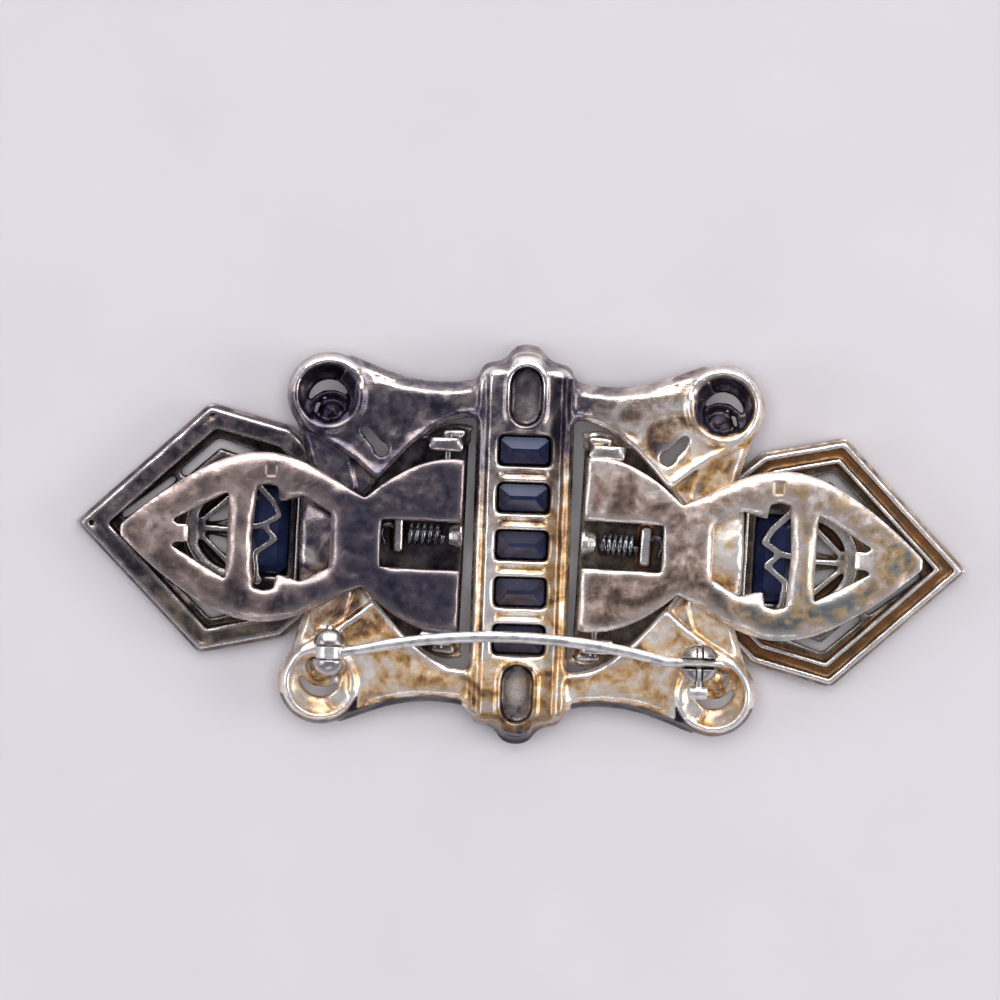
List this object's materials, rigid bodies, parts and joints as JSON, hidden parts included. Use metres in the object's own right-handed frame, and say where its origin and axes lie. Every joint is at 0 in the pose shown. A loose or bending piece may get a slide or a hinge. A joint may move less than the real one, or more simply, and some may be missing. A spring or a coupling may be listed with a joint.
{
  "type": "double dress clip brooch, back up",
  "caption": "Pair of dress clips with hinged, sprung plates on a scrolled brooch frame with a set column, pin and ball catch, lying face down.",
  "frame": {"origin": "on the surface that the jewel lies on, below the middle of its outline", "axes": "+X along the two clips, +Y towards the upper scrolls, away from the brooch pin, +Z out of the back, away from the surface"},
  "size_m": [0.076, 0.034, 0.0087],
  "materials": {
    "frame_silver": "cast silver with grey, purple and tan tarnish",
    "clip_silver": "cast silver with dark recesses and orange tarnish in the rim",
    "plate_silver": "worn sheet silver with mottled tarnish",
    "pin_silver": "drawn and polished silver wire",
    "spring_steel": "dark drawn spring wire",
    "navy_stone": "polished step-cut navy glass"
  },
  "bodies": {
    "brooch": {"frame_body": "frame_silver", "stone_1": "navy_stone", "stone_2": "navy_stone", "stone_3": "navy_stone", "stone_4": "navy_stone", "stone_5": "navy_stone", "pin_rivet": "pin_silver", "clip_left_body": "clip_silver", "clip_left_stone": "navy_stone", "clip_left_spring": "spring_steel", "clip_left_hinge_rivet_upper": "plate_silver", "clip_left_hinge_rivet_lower": "plate_silver", "clip_right_body": "clip_silver", "clip_right_stone": "navy_stone", "clip_right_spring": "spring_steel", "clip_right_hinge_rivet_upper": "plate_silver", "clip_right_hinge_rivet_lower": "plate_silver"},
    "left_plate": {"clip_left_plate": "plate_silver"},
    "right_plate": {"clip_right_plate": "plate_silver"},
    "pin": {"pin_stem": "pin_silver"},
    "lock": {"catch_lock": "pin_silver"}
  },
  "joints": [
    {"name": "left_plate_hinge", "type": "hinge", "parent": "brooch", "child": "left_plate", "pos_m": [-0.0066, 0.00012, 0.005], "axis": [0.0175, 0.9998, 0], "range_deg": [0, 45]},
    {"name": "right_plate_hinge", "type": "hinge", "parent": "brooch", "child": "right_plate", "pos_m": [0.0066, -0.00018, 0.005], "axis": [-0.0279, -0.9996, 0], "range_deg": [0, 45]},
    {"name": "pin_joint", "type": "hinge", "parent": "brooch", "child": "pin", "pos_m": [-0.0159, -0.0095, 0.0067], "axis": [0, -1, 0], "range_deg": [0, 100]},
    {"name": "catch_lock_turn", "type": "hinge", "parent": "brooch", "child": "lock", "pos_m": [0.0153, -0.0094, 0.0067], "axis": [-1, 0, 0], "range_deg": [0, 100]}
  ]
}
